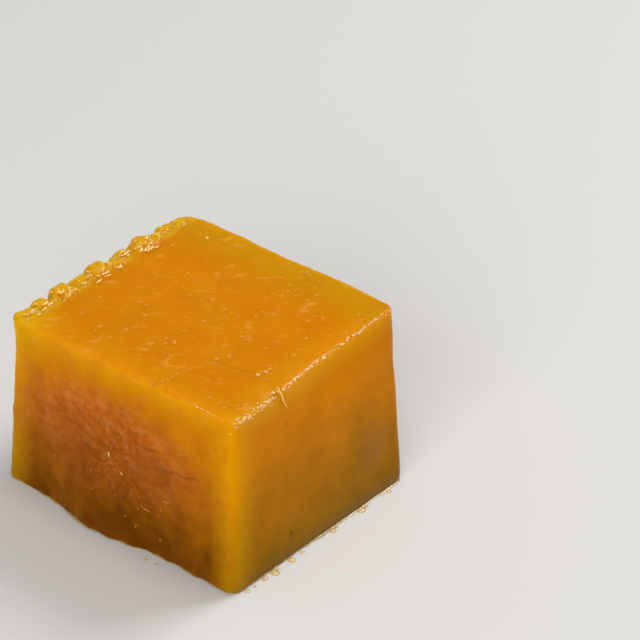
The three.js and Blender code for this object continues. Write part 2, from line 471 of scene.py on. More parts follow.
def tear_noise(place, seed, scale):
    """Noise from -1 to 1 that runs outwards from the grain."""
    shift = Vector((seed, -seed, 2 * seed))
    return np.array([noise.noise(Vector(row) * scale + shift) for row in round_the_grain(place).tolist()])


def tearing(place):
    """1 at the grain, and less and less away from it."""
    return bump(np.hypot(place[:, 0] - GRAIN[0], place[:, 2] - GRAIN[1]), TEAR_REACH)


def to_line(across, up, start, end):
    """Distance of each corner to a line between two ends, in the plane of two of its coordinates."""
    way = np.subtract(end, start)
    t = np.clip(((across - start[0]) * way[0] + (up - start[1]) * way[1]) / (way @ way), 0, 1)
    return np.hypot(across - start[0] - t * way[0], up - start[1] - t * way[1])


# %% The rules for creases and plates
def crease_lines(place):
    """1 along the creases of the front face and 0 beside them."""
    thin = np.zeros(len(place))
    for seed, scale in ((1.7, 1.0), (5.2, 1.7)):
        thin = np.maximum(thin, bump(tear_noise(place, seed, scale), CREASE_WIDTH * scale) / scale)
    thin = thin * tearing(place)
    x = place[:, 0] + LONG_BEND["by"] * wander(place, LONG_BEND["length"], 2.2)
    z = place[:, 2] + LONG_BEND["by"] * wander(place, LONG_BEND["length"], 6.4)
    for start, end in LONG_CREASES:
        thin = np.maximum(thin, bump(to_line(x, z, start, end), LONG_WIDTH))
    return thin


def plates(place):
    """The levels of the plates between the creases."""
    return (0.5 + 0.9 * tear_noise(place, 8.6, 1.0)) * tearing(place)


def on_front(values_of):
    """Runs a slow rule for the corners of the front face alone, and gives 0 elsewhere."""
    def rule(place, facing):
        near = facing[:, 1] < -0.5
        weights = np.zeros(len(place))
        weights[near] = values_of(place[near])
        return weights
    return rule


# %% [markdown]
# Plates of paste between the creases come out first, then the creases are pressed in, and last the finest
# tearing goes over the whole front and over the torn side. Their masks are there from the step on waves.

# %% Tearing the front face
push(block, mask(block, "plates", on_front(plates)), PLATE_RISE)
push(block, mask(block, "creases", on_front(crease_lines)), -CREASE_DEPTH)
for name, height in FINE_TEAR.items():
    push(block, name, 2 * height, cloud(FINE_LENGTH, 3))
print("torn front:", CREASE_DEPTH, "mm deep creases,", len(LONG_CREASES), "of them long")

# %% [markdown]
# The foot of the front face is ragged where it stuck to the ground. The cut top is nearly smooth, with fine
# relief where fibres were cut, and one shallow crease.

# %% The ragged foot, and the relief of the top
RAGGED = {"height": 0.55, "length": 2.0, "up": 3.5}
TOP_RELIEF = {"height": 0.05, "length": 1.5}
TOP_CREASE = {"start": (9.5, -9.5), "end": (18.8, -8.1), "wide": 0.7, "deep": 0.2}


def ragged(place, facing):
    return front_face(place, facing) * bump(place[:, 2] - 0.8, RAGGED["up"])


def top_crease(place, facing):
    """One shallow line in the top, with a slight wave in it."""
    x = place[:, 0] + 0.4 * np.sin(place[:, 0] * 1.3)
    y = place[:, 1] + 0.3 * np.sin(place[:, 0] * 0.9)
    near = to_line(x, y, TOP_CREASE["start"], TOP_CREASE["end"])
    return bump(near, TOP_CREASE["wide"]) * (facing[:, 2] > 0.5)


def top_face(place, facing):
    return ease_in(0.5, 0.95, facing[:, 2])


push(block, mask(block, "ragged", ragged), 2 * RAGGED["height"], cloud(RAGGED["length"], 2), way="Y")
push(block, mask(block, "top crease", top_crease), -TOP_CREASE["deep"])
push(block, mask(block, "top", top_face), 2 * TOP_RELIEF["height"], cloud(TOP_RELIEF["length"], 3))
print("ragged foot:", 2 * RAGGED["height"], "mm in and out; top relief:", 2 * TOP_RELIEF["height"], "mm")

# %% [markdown]
# The cut rims are not quite smooth: the knife left small beads in them, which catch the light as a broken
# line. Hard grains also left two nicks in the right-hand rim. The masks here and the painted zones below
# need distances to the straight edges of the block, so the helpers for these come first.


# %% Helpers for distances to the edges
def edge_distance(place, start, end):
    """Distance in millimetres of each corner to the straight line between two points."""
    start = np.array(start / MM)
    way = np.array(end / MM) - start
    t = np.clip((place - start) @ way / (way @ way), 0, 1)
    return np.linalg.norm(place - start - t[:, None] * way, axis=1)


def before_dip(place):
    """Where each corner was before the knife's dip moved it."""
    back = np.zeros_like(place)
    share = dip(place, None)
    back[:, 0] = DIP["in"] * share
    back[:, 2] = DIP["down"] * share
    return place + back


def rim_distance(place, one, other):
    return edge_distance(before_dip(place), top_corner(one), top_corner(other))


# %% Beads in the cut rims, and two nicks
RIMS = [("front left", "front right"), ("front right", "back right"), ("back right", "back left")]
BEADS = {"height": 0.18, "length": 0.9, "wide": 1.4}
NICK = {"y": -10.6, "wide": 0.9, "deep": 0.7}
SMALL_NICK = {"y": -9.0, "wide": 0.6, "deep": 0.35}


def to_rims(place):
    return np.min([rim_distance(place, one, other) for one, other in RIMS], axis=0)


def beads(place, facing):
    return bump(to_rims(place), BEADS["wide"])


def right_rim_point(y):
    """A point of the right-hand rim at a given y, in millimetres, after the dip."""
    front = top_corner("front right") / MM
    back = top_corner("back right") / MM
    point = front + (back - front) * (y - front.y) / (back.y - front.y)
    share = float(dip(np.array([point]), None)[0])
    return point - Vector((DIP["in"], 0, DIP["down"])) * share


def nick_rule(nick):
    def rule(place, facing):
        middle = np.array(right_rim_point(nick["y"]))
        return bump(np.linalg.norm(place - middle, axis=1), 2 * nick["wide"])
    return rule


push(block, mask(block, "beads", beads), 2 * BEADS["height"], cloud(BEADS["length"], 2))
for number, nick in enumerate((NICK, SMALL_NICK)):
    push(block, mask(block, f"nick {number}", nick_rule(nick)), -nick["deep"])
print("beads along", len(RIMS), "rims; nicks at y", NICK["y"], "and", SMALL_NICK["y"], "mm")

# %% [markdown]
# The net is now finished. The foot is pressed flat by scaling it to nothing along Z, and its inner faces
# are dissolved, because nobody sees them. Then the block is shaded smooth.

# %% The flat foot and smooth shading
edit(block)
pick(block, "VERT", lambda corner: corner.co.z < 0.2 * MM)
bpy.ops.transform.resize(value=(1, 1, 0), center_override=(0, 0, 0))
flat = pick(block, "FACE", lambda face: all(corner.co.z < 0.001 * MM for corner in face.verts))
bpy.ops.mesh.dissolve_limited(angle_limit=math.radians(1))
bpy.ops.mesh.select_all(action="SELECT")
bpy.ops.mesh.normals_make_consistent(inside=False)
bpy.ops.object.mode_set(mode="OBJECT")
bpy.ops.object.shade_smooth()
print("foot faces dissolved:", flat, "faces left:", len(block.data.polygons))


# %% [markdown]
# Light comes through the paste where it is thin, so its edges glow yellow, and the thick middle of the rough
# front face looks reddish brown. The foot is darkest. This light and shade is painted into the colour as
# attributes of the net, like vertex paint, and the material reads them by name. They follow the surface in
# any view.


# %% Helpers for painted zones
def paint(piece, name, rule):
    """Stores a weight from 0 to 1 for each corner, for the material to read by name."""
    weights = np.clip(rule(*corners_of(piece)), 0, 1)
    attribute = piece.data.attributes.new(name, "FLOAT", "POINT")
    attribute.data.foreach_set("value", weights.astype(np.float32))
    print("painted", name, "with a mean of", round(float(weights.mean()), 3))


def upright_distance(place, name):
    return edge_distance(place, foot_corner(name), top_corner(name))


def below_rim(place, one, other):
    """Height of a straight rim above each corner."""
    start = top_corner(one) / MM
    end = top_corner(other) / MM
    way = (end - start).xy
    t = ((place[:, 0] - start.x) * way.x + (place[:, 1] - start.y) * way.y) / way.length_squared
    return np.maximum(0, start.z + np.clip(t, 0, 1) * (end.z - start.z) - before_dip(place)[:, 2])


def to_torn_rim(place):
    rim_x, rim_z = torn_rim(place[:, 1])
    return np.hypot(place[:, 0] - rim_x, place[:, 2] - rim_z)


def right_face(place, facing):
    return ease_in(0.5, 0.95, facing[:, 0])


def back_face(place, facing):
    return ease_in(0.5, 0.95, facing[:, 1])


# %% [markdown]
# Most zones of colour are painted light and shade, which follow how thick the paste is behind each place:
# a glow in bands beside the edges and under the rims, and reddish brown in an oval in the front face.
# A slow fade towards the foot and a deeper back-right edge are painted shade.

# %% Zones of colour, most of them painted light and shade
EDGE_GLOW = {"front left": 8.7, "front right": 8.0, "back right": 6.0, "back left": 6.0}  # reach of each
BACK_RIGHT_SHARE = 0.3  # the back-right edge glows less than the others


def glow(place, facing):
    """Painted glow: the yellow of light coming through thin paste, at the upright edges, under the rims and
    in the crags.
    """
    front_band = front_face(place, facing) * bump(below_rim(place, "front left", "front right"), 6.5)
    right_band = right_face(place, facing) * bump(below_rim(place, "front right", "back right"), 6.0)
    back_band = back_face(place, facing) * bump(below_rim(place, "back right", "back left"), 7.0)
    crag_band = 0.95 * (1 - ease_in(1.5, 4.6, to_torn_rim(place)))
    top_band = 0.4 * top_face(place, facing) * bump(to_rims(place), 8.0)
    edges = {name: bump(upright_distance(place, name), EDGE_GLOW[name]) for name in CORNERS}
    edges["back right"] = BACK_RIGHT_SHARE * edges["back right"] * ease_in(0, 26, place[:, 2])
    return np.max([top_band, crag_band, front_band, right_band, back_band, *edges.values()], axis=0)


def core(place, facing):
    """Painted shade: the reddish brown of the thick middle of the front face, where little light comes
    through.
    """
    x, y, z = place.T
    oval = np.hypot((x + 3) / 29, (z - 18) / 15)
    return front_face(place, facing) * (1 - ease_in(0.25, 1.05, oval))


def shade(place, facing):
    """Painted shade: darker towards the foot on every wall, and darkest low in the front face."""
    x, y, z = place.T
    low_front = 0.35 * front_face(place, facing) * bump(x - 5, 16) * bump(z, 12)
    return (1 - ease_in(0.4, 0.9, facing[:, 2])) * (1 - z / 32 + low_front)


def back_strip(place, facing):
    """Duller yellow on the top, along the back rim."""
    from_rim = rim_distance(place, "back right", "back left")
    return top_face(place, facing) * (1 - ease_in(2.0, 12.0, from_rim))


def bright_corner(place, facing):
    """The thin front-left top corner, where the most light comes through."""
    corner = np.array(top_corner("front left") / MM)
    return bump(np.linalg.norm(place - corner, axis=1), 11)


def back_edge_shade(place, facing):
    """Painted shade: deeper orange at the back-right upright edge."""
    return bump(upright_distance(place, "back right"), 6.0)


# %% [markdown]
# The zones of shine say where the surface is wet, and where it is broken up so finely that it glitters.
# Small marks are zones too: two dark grains, and a painted haze of reflected light, as a dull patch low on
# the right-hand face and a dull line along its foot.


# %% Zones of shine and small marks
def rough_corner(place):
    """The front part of the right-hand rim, which the knife left rough."""
    from_rim = rim_distance(place, "front right", "back right")
    return 0.7 * bump(from_rim, 2.2) * ease_in(-7.5, -9.5, place[:, 1])


def wet(place, facing):
    """Wet shine on the crags and the cut rims."""
    crags_near = (1 - front_face(place, facing)) * (1 - ease_in(2.4, 3.8, to_torn_rim(place)))
    crags_near = crags_near * (1 - 0.8 * ease_in(0.5, 0.9, -facing[:, 0]))
    right_rim = 0.5 * bump(rim_distance(place, "front right", "back right"), 1.3)
    all_rims = 0.3 * bump(to_rims(place), 1.5)
    return np.max([crags_near, right_rim, rough_corner(place), all_rims], axis=0)


def broken(place, facing):
    """Where the wet surface is broken up finely: on the crags and at the rough corner."""
    crags_near = 1 - ease_in(2.2, 3.6, to_torn_rim(place))
    return np.maximum(crags_near * (1 - front_face(place, facing)), rough_corner(place))


SPECKS = [(26.8, -8.2, 29.2), (27.7, -7.9, 5.3)]
SPECK_REACH = 0.75


def speck(place, facing):
    """Two dark grains in the right-hand face."""
    away = [np.linalg.norm(place - np.array(spot), axis=1) for spot in SPECKS]
    return bump(np.min(away, axis=0), SPECK_REACH)


REFLECTION_PATCH = {"y": 15.0, "z": 11.5, "wide": 6.5, "high": 8.0}


def reflection_haze(place, facing):
    """Painted haze of reflected light: a dull patch low on the right-hand face, and a dull line along its
    foot.
    """
    oval = np.hypot((place[:, 1] - REFLECTION_PATCH["y"]) / REFLECTION_PATCH["wide"], (place[:, 2] - REFLECTION_PATCH["z"]) / REFLECTION_PATCH["high"])
    foot_line = bump(place[:, 2], 4.2) * (0.4 + 0.6 * ease_in(-12, 12, place[:, 1]))
    return right_face(place, facing) * np.maximum(0.5 * bump(oval, 1), foot_line)


# %% [markdown]
# Every zone is now painted under its name. The material also needs to know where each corner lies round the
# grain, for streaks that follow the tearing, so that place is stored as a vector.

# %% Painting the zones
crease_shade = on_front(crease_lines)
ZONES = {
    "glow": glow, "core": core, "shade": shade, "wet": wet, "broken": broken, "speck": speck, "reflection_haze": reflection_haze,
    "crease_shade": crease_shade, "back_strip": back_strip, "bright_corner": bright_corner, "back_edge_shade": back_edge_shade,
    "top_face": top_face, "right_face": right_face, "front_face": front_face, "torn_face": torn_face,
}
for name, rule in ZONES.items():
    paint(block, name, rule)

way_from_grain = block.data.attributes.new("way_from_grain", "FLOAT_VECTOR", "POINT")
rows = round_the_grain(corners_of(block)[0])
way_from_grain.data.foreach_set("vector", rows.astype(np.float32).ravel())
print(len(ZONES), "zones painted on", len(block.data.vertices), "corners")

# %% [markdown]
# Every finish is built from shader nodes. These helpers each add one step, so that a recipe reads as a list
# of what is mixed over what.


# %% Node helpers
def add_node(tree, kind, inputs=None, **settings):
    """Adds a shader node. An input is a number, or a link from another node's output."""
    node = tree.nodes.new("ShaderNode" + kind)
    for name, value in settings.items():
        setattr(node, name, value)
    for socket, value in (inputs or {}).items():
        if isinstance(value, bpy.types.NodeSocket):
            tree.links.new(value, node.inputs[socket])
        else:
            node.inputs[socket].default_value = value
    return node


def new_material(name):
    """A material with nodes: gives it, its tree and its shader."""
    material = bpy.data.materials.new(name)
    material.use_nodes = True
    tree = material.node_tree
    return material, tree, tree.nodes["Principled BSDF"]


def painted(tree, name):
    """The painted zone of that name."""
    return add_node(tree, "Attribute", attribute_name=name).outputs["Fac"]


# %% Helpers for mixing numbers and colours, and for noise
def times(tree, a, b):
    return add_node(tree, "Math", {0: a, 1: b}, operation="MULTIPLY").outputs[0]


def plus(tree, a, b):
    return add_node(tree, "Math", {0: a, 1: b}, operation="ADD").outputs[0]


def spread(tree, value, low, high, to_low=0.0, to_high=1.0):
    """Maps the range from low to high onto another range, and holds it there."""
    return add_node(tree, "MapRange", {0: value, 1: low, 2: high, 3: to_low, 4: to_high}).outputs[0]


def mixed(tree, share, under, over):
    """One colour over another, by a share from 0 to 1."""
    return add_node(tree, "Mix", {0: share, 6: under, 7: over}, data_type="RGBA").outputs[2]


def grain(tree, size, turn=0.0, detail=2.0, place=(0, 0, 0)):
    """Noise whose grains have a given size in millimetres along x, y and z, turned about Z."""
    coordinates = add_node(tree, "TexCoord").outputs["Object"]
    frame_of_grain = add_node(tree, "Mapping", {"Vector": coordinates}, vector_type="TEXTURE")
    frame_of_grain.inputs["Scale"].default_value = [side * MM for side in size]
    frame_of_grain.inputs["Rotation"].default_value = (0, 0, turn)
    frame_of_grain.inputs["Location"].default_value = [side * MM for side in place]
    settings = {"Vector": frame_of_grain.outputs[0], "Scale": 1.0, "Detail": detail}
    return add_node(tree, "TexNoise", settings).outputs[0]


# %% [markdown]
# The paste is moist and translucent. Its colour comes from subsurface scattering over the painted zones:
# orange in the body, yellow where it is thin, reddish brown in the thick torn front, dark olive brown at
# the foot. Noise of several sizes keeps each colour uneven. Fibres run one way through the slab, so three
# of the noises are long and narrow and turned that way, and one more follows the tearing of the front.

# %% Colours and patterns of the paste
ORANGE = (0.60, 0.205, 0.001, 1)
DEEP_ORANGE = (0.58, 0.185, 0.001, 1)
RIGHT_ORANGE = (0.64, 0.203, 0.001, 1)
YELLOW = (0.66, 0.280, 0.001, 1)
LOW_YELLOW = (0.42, 0.215, 0.001, 1)
RUST = (0.57, 0.150, 0.014, 1)
PINK_SHEEN = (0.68, 0.245, 0.06, 1)
BACK_YELLOW = (0.46, 0.245, 0.001, 1)
BRIGHT_YELLOW = (0.63, 0.37, 0.002, 1)
SHADE_ORANGE = (0.38, 0.10, 0.001, 1)
DARK_RUST = (0.47, 0.105, 0.006, 1)
BROWN = (0.120, 0.034, 0.001, 1)
OLIVE = (0.195, 0.102, 0.001, 1)
PALE_PULP = (0.78, 0.33, 0.05, 1)
DARK_SPECK = (0.10, 0.03, 0.005, 1)
REFLECTION_TINT = (0.21, 0.115, 0.06, 1)
FIBRE_WAY = math.radians(40.1)

paste, tree, shader = new_material("moist_paste")
mottle = grain(tree, (5, 5, 5), detail=3)
broad = grain(tree, (11, 11, 16), detail=2, place=(4, 1, 6))
fine = grain(tree, (1.1, 1.1, 1.1), detail=4, place=(7, 3, 1))
flecks = grain(tree, (3.0, 3.0, 1.7), detail=3, place=(5, 5, 2))
fibres = grain(tree, (1.5, 0.32, 0.5), FIBRE_WAY, detail=3)
pulp_specks = grain(tree, (3.4, 1.8, 1.6), FIBRE_WAY, detail=3, place=(8, 1, 4))
wide_fibres = grain(tree, (4.5, 0.8, 1.2), FIBRE_WAY, detail=2, place=(3, 9, 2))
front = painted(tree, "front_face")
on_circle = add_node(tree, "Attribute", attribute_name="way_from_grain").outputs["Vector"]
torn_streaks = add_node(tree, "TexNoise", {"Vector": on_circle, "Scale": 1.9, "Detail": 5.0}).outputs[0]
print("patterns of the paste:", len(tree.nodes), "nodes")

# %% [markdown]
# The colour is built up in layers, each a share of a new colour over what lies under it. A share is a
# painted zone, loosened with noise so that it has no clear outline, or a noise cut down to flecks. First
# come the body and the painted yellow glow of its thin edges, then the painted reddish brown of the thick
# middle of the front, with pale pink flecks in it that are partly painted sheen, and painted shade in its
# creases.

# %% Colour of the body, the thin edges and the torn front
# painted light and shade: glow at the bright corner and in the broken crags, shade at the back-right edge; a
# duller yellow along the back rim
LOCAL_COLOURS = {
    "back_strip": (0.6, BACK_YELLOW),
    "bright_corner": (0.65, BRIGHT_YELLOW),
    "broken": (0.5, BRIGHT_YELLOW),
    "back_edge_shade": (0.4, SHADE_ORANGE),
}

color = mixed(tree, spread(tree, mottle, 0.35, 0.65), ORANGE, DEEP_ORANGE)
right = times(tree, painted(tree, "right_face"), spread(tree, broad, 0.3, 0.6))
color = mixed(tree, right, color, RIGHT_ORANGE)
# painted glow of light through thin paste, duller towards the foot in painted shade
thin = plus(tree, painted(tree, "glow"), spread(tree, fine, 0.3, 0.7, -0.1, 0.1))
low = spread(tree, painted(tree, "shade"), 0.35, 1.0)
color = mixed(tree, spread(tree, thin, 0.05, 0.95), color, mixed(tree, low, YELLOW, LOW_YELLOW))
for zone, (share, over) in LOCAL_COLOURS.items():
    color = mixed(tree, times(tree, painted(tree, zone), share), color, over)

# painted shade: reddish brown where the front is thickest
thick = plus(tree, painted(tree, "core"), spread(tree, torn_streaks, 0.3, 0.7, -0.22, 0.22))
rusty = mixed(tree, spread(tree, fine, 0.35, 0.65), RUST, DARK_RUST)
color = mixed(tree, spread(tree, times(tree, thick, front), 0.0, 0.8), color, rusty)
# pale pink flecks: partly the paste's own mottling, partly painted sheen of light scattered by the rough
# torn front
pink_sheen = times(tree, spread(tree, flecks, 0.46, 0.66), spread(tree, painted(tree, "core"), 0.1, 0.6))
pink_sheen = times(tree, pink_sheen, spread(tree, painted(tree, "shade"), 0.40, 0.78, 1.0, 0.2))
color = mixed(tree, times(tree, pink_sheen, 0.38), color, PINK_SHEEN)
# painted shade in the creases of the torn front
color = mixed(tree, times(tree, painted(tree, "crease_shade"), 0.25), color, BROWN)
print("body, edges and front:", len(tree.nodes), "nodes")

# %% [markdown]
# Painted shade goes over all of that: brown in the front and olive on the other walls, but little where the
# paste glows. Then come a painted haze of reflected light low on the right-hand face and the dark grains,
# and on the top the cut fibres and soft spots of pulp.

# %% Painted shade, painted haze, marks and pulp in the colour
# painted shade towards the foot
loose = plus(tree, painted(tree, "shade"), spread(tree, mottle, 0.3, 0.7, -0.12, 0.12))
dark = times(tree, spread(tree, loose, 0.1, 1.0), spread(tree, painted(tree, "glow"), 0.2, 1.0, 1.0, 0.3))
color = mixed(tree, times(tree, dark, 0.95), color, mixed(tree, front, OLIVE, BROWN))
# painted haze of reflected light, low on the right-hand face and along its foot
color = mixed(tree, times(tree, painted(tree, "reflection_haze"), 0.5), color, REFLECTION_TINT)
color = mixed(tree, painted(tree, "speck"), color, DARK_SPECK)

on_top = painted(tree, "top_face")
streaks = times(tree, spread(tree, fibres, 0.58, 0.74), on_top)
color = mixed(tree, times(tree, streaks, 0.35), color, PALE_PULP)
patchy = times(tree, on_top, spread(tree, broad, 0.42, 0.58, 0.1, 1.0))
spots = times(tree, spread(tree, pulp_specks, 0.60, 0.68), patchy)
color = mixed(tree, times(tree, spots, 0.5), color, PALE_PULP)
tree.links.new(color, shader.inputs["Base Color"])
print("colour of the paste:", len(tree.nodes), "nodes")

# %% [markdown]
# Light goes a few millimetres into the paste, and red goes furthest, so the subsurface radius is longest in
# red. The cut faces are satin and the torn front is duller. Where the paste is wet a clear coat lies on it,
# in patches, because an even coat would shine as one milky band where the real rims glitter.

# %% Shine and depth of the paste
WET_PATCH = (0.9, 0.9, 0.9)
LIGHT_DEPTH = 5  # how far red light spreads in the paste, in millimetres
rough = spread(tree, mottle, 0.3, 0.7, 0.30, 0.42)
rough = plus(tree, rough, times(tree, front, 0.12))
tree.links.new(rough, shader.inputs["Roughness"])
patches = spread(tree, grain(tree, WET_PATCH, detail=1, place=(6, 2, 3)), 0.41, 0.52)
film = times(tree, patches, spread(tree, painted(tree, "broken"), 0.0, 1.0, 1.0, 0.55))
tree.links.new(times(tree, painted(tree, "wet"), film), shader.inputs["Coat Weight"])
shader.inputs["Coat Roughness"].default_value = 0.08
shader.inputs["Coat IOR"].default_value = 1.5
shader.inputs["Specular IOR Level"].default_value = 0.03
shader.inputs["Specular Tint"].default_value = (1.0, 0.7, 0.25, 1)
shader.inputs["Subsurface Weight"].default_value = 1.0
shader.inputs["Subsurface Radius"].default_value = (1.0, 0.6, 0.1)
shader.inputs["Subsurface Scale"].default_value = LIGHT_DEPTH * MM
print("light goes about", LIGHT_DEPTH, "mm into the paste")

# %% [markdown]
# What is finer than the net is left to bump: cut fibres in the top, beads in the wet rims, crumbs on the
# crags and streaks in the torn faces. Each bump takes the one before it as its normal, so they add up.


# %% Finest relief of the paste
def relief(height, distance, under=None, strength=1.0):
    """A bump of that distance in millimetres, on top of the bump under it."""
    inputs = {"Height": height, "Strength": strength, "Distance": distance * MM}
    if under is not None:
        inputs["Normal"] = under
    return add_node(tree, "Bump", inputs).outputs[0]


BEAD_GRAIN = (0.45, 0.45, 0.45)
CRUMB_GRAIN = (0.9, 1.3, 0.9)
cut = times(tree, plus(tree, fibres, wide_fibres), on_top)
beaded = times(tree, grain(tree, BEAD_GRAIN, detail=1), painted(tree, "wet"))
beaded = times(tree, beaded, spread(tree, painted(tree, "broken"), 0.0, 1.0, 1.0, 0.2))
crumbled = times(tree, grain(tree, CRUMB_GRAIN, detail=1.5, place=(2, 2, 8)), painted(tree, "broken"))
torn = plus(tree, times(tree, torn_streaks, front), times(tree, fine, painted(tree, "torn_face")))

normal = relief(cut, 0.08, strength=0.35)
normal = relief(beaded, 0.16, normal)
normal = relief(crumbled, 0.5, normal)
normal = relief(torn, 0.2, normal)
tree.links.new(normal, shader.inputs["Normal"])
block.data.materials.append(paste)
print("paste finish:", len(tree.nodes), "nodes")

# %% [markdown]
# Bits of pulp lie in the faces, and small torn chips sit on the rims. They are finer than the net, so they
# are real pieces laid on it. Each kind is modelled once from a small sphere: drawn out, flattened, bent and
# knocked about with Randomize. Copies with sizes and turns of their own are then laid on the block along
# lines of sight, and joined.


# %% Helpers for chips
def model_chip(name, long, wide, thick, bend, seed):
    """One uneven chip of the given size in millimetres, with one end bent sideways."""
    bpy.ops.object.select_all(action="DESELECT")
    bpy.ops.mesh.primitive_uv_sphere_add(segments=8, ring_count=5, radius=0.5 * MM, location=(0, 0, 0))
    chip = bpy.context.object
    chip.name = name
    edit(chip)
    bpy.ops.mesh.select_all(action="SELECT")
    bpy.ops.transform.resize(value=(long, wide, thick), center_override=(0, 0, 0))
    bpy.ops.transform.vertex_random(offset=0.14 * wide * MM, uniform=0.4, seed=seed, wait_for_input=False)
    pick(chip, "VERT", lambda corner: corner.co.x > 0.15 * long * MM)
    bpy.ops.transform.translate(value=(0, bend * MM, 0))
    bpy.ops.mesh.select_all(action="SELECT")
    bpy.ops.mesh.normals_make_consistent(inside=False)
    bpy.ops.object.mode_set(mode="OBJECT")
    bpy.ops.object.shade_smooth()
    size = [round(side / MM, 2) for side in chip.dimensions]
    print(name, "has", len(chip.data.polygons), "faces,", size, "mm")
    return chip


# %% Helpers for laying chips on the block
def lay_on(shape, start, way, size, turn, lean=0.0, lean_to=(0, 0, 1), stretch=1.0, sunk=0.0):
    """Copies a shape onto the point where a line meets the block, leaning and sunk in by a share.

    start is in millimetres, and lean is the share of the way from the wall's own facing to lean_to."""
    hit, spot, normal, face = block.ray_cast(Vector(start) * MM, Vector(way))
    if not hit:
        return None
    copy = shape.copy()
    copy.data = shape.data.copy()
    bpy.context.collection.objects.link(copy)
    up = normal.lerp(Vector(lean_to), lean).normalized()
    lie = Vector((0, 0, 1)).rotation_difference(up).to_matrix().to_4x4()
    scale = Matrix.Diagonal((size * stretch, size, size, 1))
    spot = spot - normal * sunk * size * MM
    copy.matrix_world = Matrix.Translation(spot) @ lie @ Matrix.Rotation(turn, 4, "Z") @ scale
    return copy


def join_up(copies, shapes, name):
    """Joins all copies into one piece at the origin, and removes the shapes they were copied from."""
    copies = [copy for copy in copies if copy]
    alone(copies[0])
    for copy in copies:
        copy.select_set(True)
    bpy.ops.object.join()
    piece = bpy.context.object
    piece.name = name
    bpy.ops.object.transform_apply(location=True, rotation=True, scale=True)
    for shape in shapes:
        bpy.data.objects.remove(shape)
    print(name + ":", len(copies), "copies,", len(piece.data.polygons), "faces")
    return piece


# %% [markdown]
# Pulp shows as pale flakes, most of them lying along the fibres. The larger ones have places of their own,
# in groups of three, and chance scatters the rest. Most are sunk in a little, so that no edge stands up.
# In the front face they point away from the grain, as the tearing does.

# %% Three kinds of chip, and the places of the flakes
SLIVER = model_chip("sliver", 1.3, 0.30, 0.10, 0.08, 3)
CRUMB = model_chip("crumb", 0.8, 0.50, 0.14, 0.05, 8)
HOOK = model_chip("hook", 1.0, 0.34, 0.11, -0.18, 15)
KINDS = [SLIVER, CRUMB, HOOK]
FLAKES_ON_TOP = [
    (-11.0, -3.4), (-7.7, -6.4), (-7.6, -11.8), (-1.0, -12.6), (-12.4, -14.2), (2.0, -9.1), (9.1, -15.8),
    (2.9, 3.1), (-1.3, 4.3), (10.5, -0.5), (13.1, -6.1), (16.8, 10.4), (19.8, 6.5), (20.8, 0.8),
    (10.5, 20.3), (7.1, 21.0), (7.7, -20.4),
]
GROUP = (1.5, 1.1, 0.8)  # sizes of the flakes in one group on the top
FLAKES_ON_FRONT = [(6.6, 9.3, -12), (11.4, 12.9, 7), (-6.0, 12.0, 60), (14.0, 24.0, 10), (-14.0, 26.5, 150)]
SMALL_FLAKES = {"top": 130, "front": 36, "right": 8, "back": 24}
FLAKE_SUNK = 0.035
FAR = 60  # a line of sight starts this far from the middle, outside the block
DOWN = (0, 0, -1)
INTO_FRONT = (0, 1, 0)
INTO_RIGHT = (-1, 0, 0)
INTO_BACK = (0, -1, 0)

# %% Flakes of pulp over the faces
draw = random.Random(23)
flakes = []
for x, y in FLAKES_ON_TOP:
    for share in GROUP:
        start = (x + draw.gauss(0, 0.6), y + draw.gauss(0, 0.45), FAR)
        turn = FIBRE_WAY + draw.gauss(0, 0.6)
        size = share * draw.uniform(0.8, 1.2)
        kind = draw.choice([CRUMB, CRUMB, HOOK])
        flakes.append(lay_on(kind, start, DOWN, size, turn, sunk=FLAKE_SUNK))
for x, z, angle in FLAKES_ON_FRONT:
    size = draw.uniform(0.9, 1.3)
    turn = math.radians(angle)
    flakes.append(lay_on(SLIVER, (x, -FAR, z), INTO_FRONT, size, turn, stretch=1.8, sunk=FLAKE_SUNK))
for number in range(SMALL_FLAKES["top"]):
    start = (draw.uniform(-21, 25), draw.uniform(-20, 21), FAR)
    turn = FIBRE_WAY + draw.gauss(0, 0.5)
    kind = draw.choice(KINDS)
    flakes.append(lay_on(kind, start, DOWN, draw.uniform(0.5, 1.4), turn, sunk=FLAKE_SUNK))
for number in range(SMALL_FLAKES["front"]):
    x = draw.gauss(4, 12)
    z = draw.gauss(15, 8)
    turn = math.atan2(z - GRAIN[1], x - GRAIN[0]) + draw.gauss(0, 0.4)
    if abs(x) < 25 and 2 < z < 32:
        kind = draw.choice(KINDS)
        flakes.append(lay_on(kind, (x, -FAR, z), INTO_FRONT, draw.uniform(0.35, 0.8), turn))
for side, way in (("right", INTO_RIGHT), ("back", INTO_BACK)):
    for number in range(SMALL_FLAKES[side]):
        along = draw.uniform(-20, 20)
        z = draw.uniform(3, 33)
        start = (FAR, along, z) if side == "right" else (along, FAR, z)
        kind = draw.choice(KINDS)
        size = draw.uniform(0.3, 0.6)
        flakes.append(lay_on(kind, start, way, size, draw.uniform(0, math.pi)))
pulp_flakes = join_up(flakes, [], "pulp_flakes")

# %% [markdown]
# Pulp is a paler orange than the paste round it, and darker in the rusty front face. The flakes are too thin
# for light to go into, so their finish has no subsurface, only a little coat.

# %% Finish of the flakes
PULP = (0.66, 0.235, 0.002, 1)
LIGHT_PULP = (0.76, 0.32, 0.03, 1)
FRONT_PULP = (0.56, 0.19, 0.02, 1)


def in_front(place, facing):
    """1 for the flakes in the front face, and 0 for those in the top."""
    return ease_in(34, 31, place[:, 2]) * (place[:, 1] < -20)


